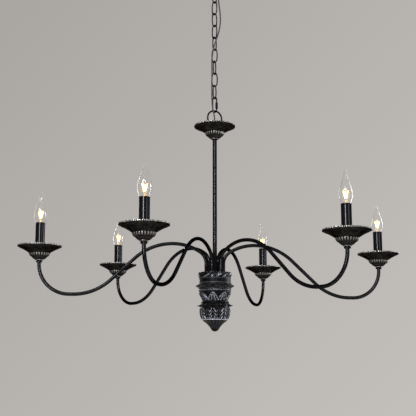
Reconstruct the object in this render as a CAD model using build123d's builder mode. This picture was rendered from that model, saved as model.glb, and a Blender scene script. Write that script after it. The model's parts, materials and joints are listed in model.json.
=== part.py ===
"""Six-arm hanging chandelier: ceiling kit, chain, quick link, ring, stem, hub, arms and candles.

Millimetres, +Z up. The origin is the centre of the ceiling plate, on the ceiling, and everything
hangs below it. The arms stand every 60 degrees, the first along +X.
"""
import os
from math import atan2, cos, degrees, hypot, radians, sin, tan

from build123d import *

# ---- driving dimensions ------------------------------------------------------------------------
arm_count = 6
candle_circle_r = 490.0         # stem axis to candle axis
drop = 865.0                    # ceiling to the rims of the drip pans
stem_length = 390.0             # top of the hub crown to the underside of the top cup
pan_r = 60.0
pan_wall = 2.0
sleeve_r = 13.0
sleeve_wall = 1.0
sleeve_above_rim = 64.0
bulb_r = 17.5
bulb_tip_above_rim = 151.5
arm_tube_r = 5.0
arm_tube_wall = 1.5
hub_arm_circle_r = 25.0

# ---- clearances and shared hardware ------------------------------------------------------------
link_gap = 0.3                  # between one link and the next
slip = 0.1                      # radial play of parts that slide over a tube
thread_play = 0.05              # radial play of screwed parts
cap_play = 0.3                  # radial play of the bulb cap in its holder

pipe_r = 5.0                    # M10 threaded pipe used throughout
pipe_bore_r = 3.5
pipe_hole_r = pipe_r + thread_play
nut_af = 3 * pipe_r
nut_t = 5.0
arm_hole_r = arm_tube_r + thread_play

# ---- chain -------------------------------------------------------------------------------------
link_count = 9
link_wire_r = 1.8
link_half_length = 20.7         # centre line, middle to end
link_half_width = 8.4           # centre line, at the bowed sides
link_end_r = 7.0
link_yaws = [35, -45, 28, -48, 42, -35, 55, -32, 50]
quick_wire_r = 2.0
quick_half_length = 23.05
quick_half_width = 7.25
quick_yaw = -48
quick_gap = 7.5                 # open stretch of the threaded leg
quick_gap_top = -4.0            # below the link's middle
quick_nut_r = 3.7
quick_nut_length = 18.0
quick_nut_grip = 1.0            # how far the closed nut reaches over the lower leg
ring_wire_r = 2.5
ring_r = 22.5                   # centre line
ring_yaw = 14
eye_wire_r = 3.0
eye_r = 11.0
eye_yaw = ring_yaw + 90
loop_wire_r = 2.5
loop_r = 10.5
loop_yaw = link_yaws[0] + 90

# ---- ceiling kit -------------------------------------------------------------------------------
strap_length = 110.0
strap_width = 22.0
strap_t = 2.5
strap_corner_r = 4.0
slot_spacing = 88.9
slot_r = 2.5
slot_length = 10.0
ground_screw_r = 2.0
ground_head_r = 4.2             # across the corners
ground_head_t = 2.5
ground_x = slot_spacing / 4
canopy_r = 60.0
canopy_depth = 28.0
canopy_wall = 1.2
canopy_flat_r = 15.0
canopy_skirt = 4.0              # upright edge against the ceiling
canopy_mid_r = 0.72 * canopy_r  # middle of the dome
canopy_mid_z = -0.66 * canopy_depth
collar_r = 13.0
collar_t = 8.0
neck_r = 8.0
loop_sink = 1.5                 # how far a neck reaches past the wire of its loop
port_r = 4.4
port_lean = 45.0
nipple_length = 40.0

# ---- supply cord -------------------------------------------------------------------------------
cord_r = 2.0
cord_points = [
    (0.0, 0.0, -1.0),
    (0.0, 0.0, -46.0),
    (10.5, -11.5, -60.0),
    (11.3, -11.6, -87.0),
    (10.7, -8.0, -115.0),
    (15.8, -7.9, -150.0),
    (16.6, -9.1, -180.0),
    (12.2, -11.3, -207.0),
    (5.6, -13.7, -230.0),
    (-2.4, -13.3, -253.0),
    (-7.8, -9.3, -277.0),
    (-9.6, -5.4, -305.0),
    (-8.4, -4.6, -340.0),
    (-9.5, -4.9, -377.0),
    (-9.1, -5.5, -413.0),
    (-8.8, -9.6, -443.0),
    (-5.5, -10.7, -460.0),
    (-1.5, -10.9, -481.0),
    (-4.5, -10.9, -495.0),
    (-6.2, -5.1, -513.5),
    (-1.5, -1.2, -520.7),
]

# ---- levels worked out from the sizes above ----------------------------------------------------
rim_z = -drop
crown_top = rim_z - 65.0
cup_bottom = crown_top + stem_length
pan_depth = 39.5                # rim plane to the underside of a pan
cup_rim = cup_bottom + pan_depth
arm_top_z = rim_z + 15.5
arm_low_z = rim_z - 131.0
plate_top = crown_top - 15.0
plate_t = 4.0
crown_bottom = crown_top - 33.0
flange_bottom = crown_bottom - 10.0
neck_bottom = flange_bottom - 38.0
body_bottom = neck_bottom - 50.0
disc_t = 3.0
disc_bottom = body_bottom - disc_t
finial_tip = disc_bottom - 31.0

os.makedirs("parts", exist_ok=True)


def save(part, name):
    """Label one finished sub-part and write it as a STEP file."""
    part.label = name
    export_step(part, f"parts/{name}.step")


def turned_plane(yaw, z):
    """Upright plane through the axis: x along yaw, y up, origin at height z."""
    return Plane(origin=(0, 0, z), x_dir=(cos(radians(yaw)), sin(radians(yaw)), 0),
                 z_dir=(sin(radians(yaw)), -cos(radians(yaw)), 0))


def arm_angle(index):
    return 360.0 / arm_count * index


def arm_spot(index, radius):
    angle = radians(arm_angle(index))
    return (radius * cos(angle), radius * sin(angle))


def corner_radii(points, share):
    """Fillet radius of each inner corner: a share of its shorter run, over tan of half the turn."""
    radii = []
    for before, corner, after in zip(points, points[1:], points[2:]):
        run_in = Vector(*corner) - Vector(*before)
        run_out = Vector(*after) - Vector(*corner)
        half_turn = radians(run_in.get_angle(run_out)) / 2
        radii.append(share * min(run_in.length, run_out.length) / tan(half_turn))
    return radii


# ---- chain geometry: each loop rests on the wire of the loop above it --------------------------
def seat(upper_wire_r, lower_wire_r):
    """Height from an upper loop's bottom wire to the top wire of the loop that hangs in it."""
    return upper_wire_r + lower_wire_r + link_gap


ring_bottom = cup_rim + 1.9     # centre line of the ring's lowest wire
ring_z = ring_bottom + ring_r
quick_z = ring_z + ring_r - seat(quick_wire_r, ring_wire_r) + quick_half_length
link_z = []
next_z = quick_z + quick_half_length - seat(link_wire_r, quick_wire_r) + link_half_length
link_pitch = 2 * link_half_length - seat(link_wire_r, link_wire_r)
for place in range(link_count):
    link_z.insert(0, next_z + place * link_pitch)
loop_z = link_z[0] + link_half_length - seat(loop_wire_r, link_wire_r) + loop_r
eye_z = ring_bottom + seat(ring_wire_r, eye_wire_r) - eye_r

# ---- ceiling kit -------------------------------------------------------------------------------
with BuildPart() as mounting_strap:
    with BuildSketch(Plane.XY.offset(-strap_t)):
        RectangleRounded(strap_length, strap_width, strap_corner_r)
        with Locations((-slot_spacing / 2, 0), (slot_spacing / 2, 0)):
            SlotOverall(slot_length, 2 * slot_r, mode=Mode.SUBTRACT)
        Circle(pipe_hole_r, mode=Mode.SUBTRACT)
        with Locations((ground_x, 0)):
            Circle(ground_screw_r + thread_play, mode=Mode.SUBTRACT)
    extrude(amount=strap_t)
save(mounting_strap.part, "mounting_strap")

with BuildPart() as ground_screw:
    with BuildSketch(Plane.XY.offset(-strap_t)):
        with Locations((ground_x, 0)):
            Circle(ground_screw_r)
    extrude(amount=strap_t)
    with BuildSketch(Plane.XY.offset(-strap_t - ground_head_t)):
        with Locations((ground_x, 0)):
            RegularPolygon(ground_head_r, 6)
    extrude(amount=ground_head_t)
save(ground_screw.part, "ground_screw")

with BuildPart() as threaded_nipple:
    with BuildSketch(Plane.XY.offset(-nipple_length)):
        Circle(pipe_r)
        Circle(pipe_bore_r, mode=Mode.SUBTRACT)
    extrude(amount=nipple_length)
save(threaded_nipple.part, "threaded_nipple")

with BuildPart() as nipple_nut:
    with BuildSketch(Plane.XY.offset(-strap_t - nut_t)):
        RegularPolygon(nut_af / 2, 6, major_radius=False)
        Circle(pipe_hole_r, mode=Mode.SUBTRACT)
    extrude(amount=nut_t)
save(nipple_nut.part, "nipple_nut")

with BuildPart() as canopy:
    with BuildSketch(Plane.XZ):
        with BuildLine():
            skirt = Line((canopy_r, 0), (canopy_r, -canopy_skirt))
            dome = ThreePointArc(skirt @ 1, (canopy_mid_r, canopy_mid_z), (canopy_flat_r, -canopy_depth))
            crown_line = Line(dome @ 1, (pipe_hole_r, -canopy_depth))
            lip = Line(crown_line @ 1, (pipe_hole_r, -canopy_depth + canopy_wall))
            crown_in = Line(lip @ 1, (canopy_flat_r, -canopy_depth + canopy_wall))
            dome_in = ThreePointArc(
                crown_in @ 1,
                (canopy_mid_r - 0.6 * canopy_wall, canopy_mid_z + 0.8 * canopy_wall),
                (canopy_r - canopy_wall, -canopy_skirt),
            )
            skirt_in = Line(dome_in @ 1, (canopy_r - canopy_wall, 0))
            Line(skirt_in @ 1, skirt @ 0)
        make_face()
    revolve(axis=Axis.Z)
save(canopy.part, "canopy")

with BuildPart() as canopy_collar:
    with BuildSketch(Plane.XY.offset(-canopy_depth - collar_t)):
        Circle(collar_r)
        Circle(pipe_hole_r, mode=Mode.SUBTRACT)
    extrude(amount=collar_t)
    chamfer(canopy_collar.faces().sort_by(Axis.Z)[0].outer_wire().edges(), collar_t / 4)
save(canopy_collar.part, "canopy_collar")


def port_plane(z, direction, rises):
    """Plane on the axis whose normal leans towards direction, up or down: a cord port's line."""
    lean = radians(port_lean)
    slope = cos(lean) if rises else -cos(lean)
    heading = (sin(lean) * cos(radians(direction)), sin(lean) * sin(radians(direction)), slope)
    return Plane(origin=(0, 0, z), z_dir=heading)


def make_port(z, direction, rises, bore_bottom, bore_top):
    """Cutter for the cord's way through a loop's neck: a bore on the axis and a leaning mouth."""
    with BuildPart() as port:
        with BuildSketch(Plane.XY.offset(bore_bottom)):
            Circle(port_r)
        extrude(amount=bore_top - bore_bottom)
        with BuildSketch(port_plane(z, direction, rises)):
            Circle(port_r)
        extrude(amount=3 * neck_r)
    return port.part


def heading_of(point):
    return degrees(atan2(point[1], point[0]))


def make_hoop(yaw, z, radius, wire_r):
    """Closed round ring of wire, standing upright along yaw."""
    upright = turned_plane(yaw, z)
    with BuildPart() as hoop:
        with BuildSketch(Plane(origin=(0, 0, z), x_dir=upright.x_dir, z_dir=(0, 0, 1))):
            with Locations((radius, 0)):
                Circle(wire_r)
        revolve(axis=Axis((0, 0, z), tuple(upright.z_dir)))
    return hoop.part


upper_port_z = cord_points[1][2]
upper_neck_top = -canopy_depth - collar_t
upper_neck_bottom = loop_z + loop_r - loop_wire_r - loop_sink
loop_hoop = make_hoop(loop_yaw, loop_z, loop_r, loop_wire_r)
upper_port = make_port(upper_port_z, heading_of(cord_points[2]), False, upper_port_z, -nipple_length)
with BuildPart() as canopy_loop:
    add(loop_hoop)
    with BuildSketch(Plane.XY.offset(upper_neck_bottom)):
        Circle(neck_r)
    extrude(amount=upper_neck_top - upper_neck_bottom)
    with BuildSketch(Plane.XY.offset(-nipple_length)):
        Circle(pipe_hole_r)
    extrude(amount=upper_neck_top + nipple_length, mode=Mode.SUBTRACT)
    add(upper_port, mode=Mode.SUBTRACT)
save(canopy_loop.part, "canopy_loop")

# ---- chain, quick link and ring ----------------------------------------------------------------
# A link's side is one wide arc, tangent to the small arcs of its ends.
end_centre = link_half_length - link_end_r
side_r = (link_half_width**2 - link_end_r**2 + end_centre**2) / (2 * (link_half_width - link_end_r))
side_centre = side_r - link_half_width
reach = hypot(side_centre, end_centre)
tangent_x = link_end_r * side_centre / reach
tangent_y = end_centre + link_end_r * end_centre / reach


def make_link(yaw, z):
    with BuildPart() as chain_link:
        with BuildLine(turned_plane(yaw, z)) as centre_line:
            top = ThreePointArc((tangent_x, tangent_y), (0, link_half_length), (-tangent_x, tangent_y))
            left = ThreePointArc(top @ 1, (-link_half_width, 0), (-tangent_x, -tangent_y))
            low = ThreePointArc(left @ 1, (0, -link_half_length), (tangent_x, -tangent_y))
            ThreePointArc(low @ 1, (link_half_width, 0), top @ 0)
        wire = centre_line.wire()
        with BuildSketch(Plane(origin=wire @ 0, z_dir=wire % 0)):
            Circle(link_wire_r)
        sweep(path=wire)
    return chain_link.part


for index, (yaw, z) in enumerate(zip(link_yaws, link_z), start=1):
    save(make_link(yaw, z), f"chain_link_{index}")

quick_straight = quick_half_length - quick_half_width
with BuildPart() as quick_link:
    with BuildLine(turned_plane(quick_yaw, quick_z)) as quick_line:
        upper_leg = Line((quick_half_width, quick_gap_top), (quick_half_width, quick_straight))
        over = ThreePointArc(upper_leg @ 1, (0, quick_half_length), (-quick_half_width, quick_straight))
        far_leg = Line(over @ 1, (-quick_half_width, -quick_straight))
        under = ThreePointArc(far_leg @ 1, (0, -quick_half_length), (quick_half_width, -quick_straight))
        Line(under @ 1, (quick_half_width, quick_gap_top - quick_gap))
    quick_wire = quick_line.wire()
    with BuildSketch(Plane(origin=quick_wire @ 0, z_dir=quick_wire % 0)):
        Circle(quick_wire_r)
    sweep(path=quick_wire)
save(quick_link.part, "quick_link")

nut_low = quick_z + quick_gap_top - quick_gap - quick_nut_grip
leg_x = quick_half_width * cos(radians(quick_yaw))
leg_y = quick_half_width * sin(radians(quick_yaw))
with BuildPart() as quick_link_nut:
    with BuildSketch(Plane(origin=(leg_x, leg_y, nut_low), z_dir=(0, 0, 1))):
        RegularPolygon(quick_nut_r, 6)
        Circle(quick_wire_r + thread_play, mode=Mode.SUBTRACT)
    extrude(amount=quick_nut_length)
save(quick_link_nut.part, "quick_link_nut")

save(make_hoop(ring_yaw, ring_z, ring_r, ring_wire_r), "hanging_ring")

# ---- pans and the top cup ----------------------------------------------------------------------
edge_top = 2.0                  # upright edge, above and below the rim plane
edge_low = -2.5
flare_share = 0.75              # middle of the flare: share of the pan's radius, and its level
flare_z = -9.3
bowl_r = 29.0                   # where the flat flare turns into the deep bowl
bowl_top = -20.0
bowl_side_z = -30.0
bowl_bulge = 2.4                # how far the bowl's side stands out of a straight cone
floor_r = sleeve_r + 0.2        # flat inside floor that a sleeve stands on
foot_r = floor_r - 2.0
pan_floor_t = 3.5
pan_floor = -pan_depth + pan_floor_t


def make_pan(x, y, rim, turn, hole_r):
    """Flared pan with a deep bowl: rim plane at height rim, hole for its tube in the floor."""
    lean = 0.86 * pan_wall      # shift along each axis where the wall slopes
    flare = (flare_share * pan_r, flare_z)
    side = ((bowl_r + foot_r) / 2 + bowl_bulge, bowl_side_z)
    heading = (cos(radians(turn)), sin(radians(turn)), 0)
    normal = (sin(radians(turn)), -cos(radians(turn)), 0)
    with BuildPart() as pan:
        with BuildSketch(Plane(origin=(x, y, rim), x_dir=heading, z_dir=normal)):
            with BuildLine():
                edge = Line((pan_r, edge_top), (pan_r, edge_low))
                flare_out = ThreePointArc(edge @ 1, flare, (bowl_r, bowl_top))
                bowl_out = ThreePointArc(flare_out @ 1, side, (foot_r, -pan_depth))
                floor_out = Line(bowl_out @ 1, (hole_r, -pan_depth))
                bore = Line(floor_out @ 1, (hole_r, pan_floor))
                floor_in = Line(bore @ 1, (floor_r, pan_floor))
                bowl_in = ThreePointArc(floor_in @ 1, (side[0] - lean, side[1] + lean / 2),
                                        (bowl_r - lean, bowl_top + lean / 2))
                flare_in = ThreePointArc(bowl_in @ 1, (flare[0] - lean / 2, flare[1] + lean),
                                         (pan_r - pan_wall, edge_low + pan_wall))
                band_in = Line(flare_in @ 1, (pan_r - pan_wall, edge_top))
                Line(band_in @ 1, edge @ 0)
            make_face()
        revolve(axis=Axis((x, y, rim), (0, 0, 1)))
    return pan.part


save(make_pan(0, 0, cup_rim, 0, pipe_hole_r), "top_cup")
for index in range(arm_count):
    pan_x, pan_y = arm_spot(index, candle_circle_r)
    save(make_pan(pan_x, pan_y, rim_z, arm_angle(index), arm_hole_r), f"drip_pan_{index + 1}")

# ---- stem --------------------------------------------------------------------------------------
cup_floor = cup_rim + pan_floor
lower_neck_top = eye_z - eye_r + eye_wire_r + loop_sink
lower_neck_bottom = cup_floor + nut_t + 2.0
lower_port_z = lower_neck_bottom + 7.5      # where the leaning mouth meets the axis
rod_top = lower_port_z - 2.0
eye_hoop = make_hoop(eye_yaw, eye_z, eye_r, eye_wire_r)
lower_port = make_port(lower_port_z, heading_of(cord_points[-2]), True, rod_top, lower_port_z)
with BuildPart() as stem_eye:
    add(eye_hoop)
    with BuildSketch(Plane.XY.offset(lower_neck_bottom)):
        Circle(neck_r)
    extrude(amount=lower_neck_top - lower_neck_bottom)
    with BuildSketch(Plane.XY.offset(lower_neck_bottom)):
        Circle(pipe_hole_r)
    extrude(amount=rod_top - lower_neck_bottom, mode=Mode.SUBTRACT)
    add(lower_port, mode=Mode.SUBTRACT)
save(stem_eye.part, "stem_eye")

stem_tube_r = pipe_r + 1.25
with BuildPart() as stem_tube:
    with BuildSketch(Plane.XY.offset(crown_top)):
        Circle(stem_tube_r)
        Circle(pipe_r + slip, mode=Mode.SUBTRACT)
    extrude(amount=stem_length)
save(stem_tube.part, "stem_tube")

rod_bottom = disc_bottom - 14.0
slot_top = flange_bottom + 4.0  # the rod's side slot lets the lead out inside the hub
slot_height = 18.0
slot_width = 2 * pipe_bore_r - 1.0
with BuildPart() as tie_rod:
    with BuildSketch(Plane.XY.offset(rod_bottom)):
        Circle(pipe_r)
        Circle(pipe_bore_r, mode=Mode.SUBTRACT)
    extrude(amount=rod_top - rod_bottom)
    with BuildSketch(Plane.XY.offset(slot_top - slot_height)):
        with Locations((pipe_r, 0)):
            Rectangle(2 * pipe_r, slot_width)
    extrude(amount=slot_height, mode=Mode.SUBTRACT)
save(tie_rod.part, "tie_rod")

lead_r = 1.8
lead_top = lower_port_z - 2.5
lead_points = [
    (0, 0, lead_top),
    (0, 0, slot_top - 5.0),
    (16, 0, slot_top - 13.0),
]
with BuildPart() as stem_lead:
    with BuildLine() as lead_line:
        FilletPolyline(*lead_points, radius=corner_radii(lead_points, 0.4))
    with BuildSketch(Plane(origin=lead_points[0], z_dir=(0, 0, -1))):
        Circle(lead_r)
    sweep(path=lead_line.wire())
save(stem_lead.part, "stem_lead")

# ---- hub castings ------------------------------------------------------------------------------
crown_r = 47.0
hub_wall = 3.0
crown_band = 7.0                # upright band at the top
crown_waist = 2.2               # how far the side draws in below it
crown_waist_z = crown_top - 19.0
crown_inner_r = crown_r - hub_wall - 2.0
crown_foot = 6.0                # height of the slope inside the lower edge
with BuildPart() as hub_crown:
    with BuildSketch(Plane.XZ):
        with BuildLine():
            band = Line((crown_r, crown_top), (crown_r, crown_top - crown_band))
            waist = ThreePointArc(band @ 1, (crown_r - crown_waist, crown_waist_z), (crown_r, crown_bottom))
            foot = Line(waist @ 1, (crown_r - hub_wall, crown_bottom))
            inside = Line(foot @ 1, (crown_inner_r, crown_bottom + crown_foot))
            riser = Line(inside @ 1, (crown_inner_r, crown_top - hub_wall))
            ceiling = Line(riser @ 1, (pipe_hole_r, crown_top - hub_wall))
            bore = Line(ceiling @ 1, (pipe_hole_r, crown_top))
            Line(bore @ 1, band @ 0)
        make_face()
    revolve(axis=Axis.Z)
    with BuildSketch(Plane.XY.offset(crown_top - hub_wall)):
        with PolarLocations(hub_arm_circle_r, arm_count):
            Circle(arm_tube_r + slip)
    extrude(amount=hub_wall, mode=Mode.SUBTRACT)
save(hub_crown.part, "hub_crown")

plate_r = crown_inner_r - 0.3
with BuildPart() as arm_plate:
    with BuildSketch(Plane.XY.offset(plate_top - plate_t)):
        Circle(plate_r)
        Circle(pipe_hole_r, mode=Mode.SUBTRACT)
        with PolarLocations(hub_arm_circle_r, arm_count):
            Circle(arm_hole_r, mode=Mode.SUBTRACT)
    extrude(amount=plate_t)
save(arm_plate.part, "arm_plate")

flange_r = 54.5
flange_inner_r = 38.0
flange_root_r = crown_r + 0.5
flange_height = crown_bottom - flange_bottom
with BuildPart() as hub_flange:
    with BuildSketch(Plane.XZ):
        with BuildLine():
            Polyline((flange_inner_r, crown_bottom), (flange_root_r, crown_bottom),
                     (flange_r, flange_bottom + 0.6 * flange_height),
                     (flange_r, flange_bottom + 0.4 * flange_height),
                     (flange_root_r, flange_bottom), (flange_inner_r, flange_bottom), close=True)
        make_face()
    revolve(axis=Axis.Z)
save(hub_flange.part, "hub_flange")

neck_top_r = 46.0
neck_shoulder_r = 44.5
neck_shoulder_z = flange_bottom - 15.0
neck_mid_r = 38.5
neck_mid_z = flange_bottom - 25.0
neck_foot_r = 34.0
with BuildPart() as hub_neck:
    with BuildSketch(Plane.XZ):
        with BuildLine():
            shoulder = Line((neck_top_r, flange_bottom), (neck_shoulder_r, neck_shoulder_z))
            sweep_in = ThreePointArc(shoulder @ 1, (neck_mid_r, neck_mid_z), (neck_foot_r, neck_bottom))
            foot = Line(sweep_in @ 1, (neck_foot_r - hub_wall, neck_bottom))
            inner = ThreePointArc(foot @ 1, (neck_mid_r - hub_wall, neck_mid_z + 1),
                                  (neck_shoulder_r - hub_wall, neck_shoulder_z + 2))
            inner_line = Line(inner @ 1, (neck_top_r - hub_wall, flange_bottom))
            Line(inner_line @ 1, shoulder @ 0)
        make_face()
    revolve(axis=Axis.Z)
save(hub_neck.part, "hub_neck")

leaf_tip_r = 51.5
leaf_tip_z = neck_bottom - 12.0
leaf_count = 8
leaf_t = 4.0
leaf_inner_r = 28.0
leaf_root_r = 36.0              # where the flat seat turns into the drooping leaves
leaf_notch_r = 10.0             # round gap between two leaves
leaf_notch_circle_r = leaf_tip_r + 3.0
with BuildPart() as hub_leaf_collar:
    with BuildSketch(Plane.XZ):
        with BuildLine():
            seat_line = Line((leaf_inner_r, neck_bottom), (leaf_root_r, neck_bottom))
            top_curve = ThreePointArc(seat_line @ 1, (leaf_root_r + 9, neck_bottom - 5),
                                      (leaf_tip_r, leaf_tip_z))
            tip = Line(top_curve @ 1, (leaf_tip_r - 2, leaf_tip_z - 2))
            under_curve = ThreePointArc(tip @ 1, (leaf_root_r + 7.5, neck_bottom - 2 * leaf_t),
                                        (leaf_root_r, neck_bottom - leaf_t))
            base = Line(under_curve @ 1, (leaf_inner_r, neck_bottom - leaf_t))
            Line(base @ 1, seat_line @ 0)
        make_face()
    revolve(axis=Axis.Z)
    with BuildSketch(Plane.XY.offset(neck_bottom)):
        with PolarLocations(leaf_notch_circle_r, leaf_count, start_angle=180 / leaf_count):
            Circle(leaf_notch_r)
    extrude(amount=2 * (leaf_tip_z - neck_bottom), mode=Mode.SUBTRACT)
save(hub_leaf_collar.part, "hub_leaf_collar")

body_top = neck_bottom - leaf_t
body_top_r = 36.0
body_bulge_r = 42.0
body_bulge_z = body_top - 20.0
body_foot_r = 35.5
with BuildPart() as hub_body:
    with BuildSketch(Plane.XZ):
        with BuildLine():
            bulge = ThreePointArc((body_top_r, body_top), (body_bulge_r, body_bulge_z),
                                  (body_foot_r, body_bottom))
            floor_out = Line(bulge @ 1, (pipe_hole_r, body_bottom))
            bore = Line(floor_out @ 1, (pipe_hole_r, body_bottom + hub_wall))
            floor_in = Line(bore @ 1, (body_foot_r - hub_wall, body_bottom + hub_wall))
            inner = ThreePointArc(floor_in @ 1, (body_bulge_r - hub_wall, body_bulge_z),
                                  (body_top_r - hub_wall, body_top))
            Line(inner @ 1, bulge @ 0)
        make_face()
    revolve(axis=Axis.Z)
save(hub_body.part, "hub_body")

disc_r = 36.0
with BuildPart() as hub_disc:
    with BuildSketch(Plane.XY.offset(disc_bottom)):
        Circle(disc_r)
        Circle(pipe_hole_r, mode=Mode.SUBTRACT)
    extrude(amount=disc_t)
    fillet(hub_disc.edges().filter_by(GeomType.CIRCLE).group_by(SortBy.RADIUS)[-1], 0.4 * disc_t)
save(hub_disc.part, "hub_disc")

finial_r = disc_r - 2.0
finial_lip = 1.5
finial_waist_r = 17.5           # hollow side of the cone, halfway down
finial_bead_r = 10.0            # where the rounded nose begins
finial_nose_r = 7.0
finial_end_r = 2.0
thread_end = rod_bottom - 1.0
with BuildPart() as hub_finial:
    with BuildSketch(Plane.XZ):
        with BuildLine():
            lip = Line((finial_r, disc_bottom), (finial_r, disc_bottom - finial_lip))
            ogee = ThreePointArc(lip @ 1, (finial_waist_r, finial_tip + 16),
                                 (finial_bead_r, finial_tip + 5))
            nose = ThreePointArc(ogee @ 1, (finial_nose_r, finial_tip + 1.8), (finial_end_r, finial_tip))
            end = Line(nose @ 1, (0, finial_tip))
            core = Line(end @ 1, (0, thread_end))
            blind = Line(core @ 1, (pipe_hole_r, thread_end))
            thread = Line(blind @ 1, (pipe_hole_r, disc_bottom))
            Line(thread @ 1, lip @ 0)
        make_face()
    revolve(axis=Axis.Z)
save(hub_finial.part, "hub_finial")

with BuildPart() as stem_nuts:
    for level in (cup_floor, plate_top - plate_t - nut_t, body_bottom + hub_wall):
        with BuildSketch(Plane.XY.offset(level)):
            RegularPolygon(nut_af / 2, 6, major_radius=False)
            Circle(pipe_hole_r, mode=Mode.SUBTRACT)
        extrude(amount=nut_t)
save(stem_nuts.part, "stem_nuts")

connector_r = 5.5
connector_length = 20.0
connector_taper = 5.0           # degrees
connector_circle_r = 22.0
connector_top = flange_bottom - 6.0
with BuildPart() as wire_connectors:
    with BuildSketch(Plane.XY.offset(connector_top)):
        with PolarLocations(connector_circle_r, 3, start_angle=60):
            Circle(connector_r)
    extrude(amount=-connector_length, taper=connector_taper)
save(wire_connectors.part, "wire_connectors")

# ---- arms --------------------------------------------------------------------------------------
arm_nut_t = 4.0
arm_nut_af = 2 * arm_tube_r + 4.0
arm_end = rim_z + pan_floor + 8.0
lead_play = 1.3                 # radial room between a lead and its arm's bore
arm_points = [
    (hub_arm_circle_r, plate_top - plate_t - arm_nut_t - 3.0),
    (hub_arm_circle_r, arm_top_z - 32.0),
    (hub_arm_circle_r + 55.5, arm_top_z),
    (hub_arm_circle_r + 156.0, arm_top_z),
    (candle_circle_r - 152.0, arm_low_z),
    (candle_circle_r, arm_low_z),
    (candle_circle_r, arm_end),
]
arm_setbacks = [23.1, 37.5, 63.0, 59.0, 82.0]   # where each bend starts, before its corner


def bend_radii(points, setbacks):
    radii = []
    for before, corner, after, setback in zip(points, points[1:], points[2:], setbacks):
        turn = Vector(*corner) - Vector(*before)
        half_turn = radians(turn.get_angle(Vector(*after) - Vector(*corner))) / 2
        radii.append(setback / tan(half_turn))
    return radii


def along_arm(index, points):
    """Centre line of an arm, in the upright plane of its angle."""
    with BuildLine(turned_plane(arm_angle(index), 0)) as line:
        FilletPolyline(*points, radius=bend_radii(points, arm_setbacks))
    return line.wire()


def make_arm(index):
    path = along_arm(index, arm_points)
    with BuildPart() as arm:
        with BuildSketch(Plane(origin=path @ 0, z_dir=path % 0)):
            Circle(arm_tube_r)
            Circle(arm_tube_r - arm_tube_wall, mode=Mode.SUBTRACT)
        sweep(path=path)
    return arm.part


for index in range(arm_count):
    save(make_arm(index), f"arm_{index + 1}")

arm_lead_r = arm_tube_r - arm_tube_wall - lead_play
with BuildPart() as arm_leads:
    for index in range(arm_count):
        low_end = (arm_points[0][0], arm_points[0][1] - 10.0)
        path = along_arm(index, [low_end] + arm_points[1:])
        with BuildSketch(Plane(origin=path @ 0, z_dir=path % 0)):
            Circle(arm_lead_r)
        sweep(path=path)
save(arm_leads.part, "arm_leads")

with BuildPart() as arm_nuts:
    for index in range(arm_count):
        nut_spot = arm_spot(index, hub_arm_circle_r)
        with BuildSketch(Plane.XY.offset(plate_top - plate_t - arm_nut_t)):
            with Locations(nut_spot):
                RegularPolygon(arm_nut_af / 2, 6, major_radius=False)
                Circle(arm_hole_r, mode=Mode.SUBTRACT)
        extrude(amount=arm_nut_t)
save(arm_nuts.part, "arm_nuts")

# ---- candles -----------------------------------------------------------------------------------
pan_nut_t = 4.0
with BuildPart() as pan_nuts:
    for index in range(arm_count):
        with BuildSketch(Plane.XY.offset(rim_z + pan_floor)):
            with Locations(arm_spot(index, candle_circle_r)):
                RegularPolygon(arm_nut_af / 2, 6, major_radius=False)
                Circle(arm_hole_r, mode=Mode.SUBTRACT)
        extrude(amount=pan_nut_t)
save(pan_nuts.part, "pan_nuts")

collar_top = rim_z - pan_depth
collar_neck_r = arm_tube_r + 1.5
collar_neck = 1.5               # straight neck above the bead
collar_bead_r = arm_tube_r + 3.8
collar_bead_z = -3.6
collar_length = 6.0
collar_bore_r = arm_tube_r + slip
with BuildPart() as pan_collars:
    for index in range(arm_count):
        spot_x, spot_y = arm_spot(index, candle_circle_r)
        with BuildSketch(Plane(origin=(spot_x, spot_y, collar_top), x_dir=(1, 0, 0), z_dir=(0, -1, 0))):
            with BuildLine():
                neck = Line((collar_neck_r, 0), (collar_neck_r, -collar_neck))
                bead = ThreePointArc(neck @ 1, (collar_bead_r, collar_bead_z),
                                     (collar_neck_r, -collar_length))
                foot = Line(bead @ 1, (collar_bore_r, -collar_length))
                bore = Line(foot @ 1, (collar_bore_r, 0))
                Line(bore @ 1, neck @ 0)
            make_face()
        revolve(axis=Axis((spot_x, spot_y, 0), (0, 0, 1)))
save(pan_collars.part, "pan_collars")

sleeve_top = rim_z + sleeve_above_rim
with BuildPart() as candle_sleeves:
    for index in range(arm_count):
        with BuildSketch(Plane.XY.offset(rim_z + pan_floor)):
            with Locations(arm_spot(index, candle_circle_r)):
                Circle(sleeve_r)
                Circle(sleeve_r - sleeve_wall, mode=Mode.SUBTRACT)
        extrude(amount=sleeve_above_rim - pan_floor)
save(candle_sleeves.part, "candle_sleeves")

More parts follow.
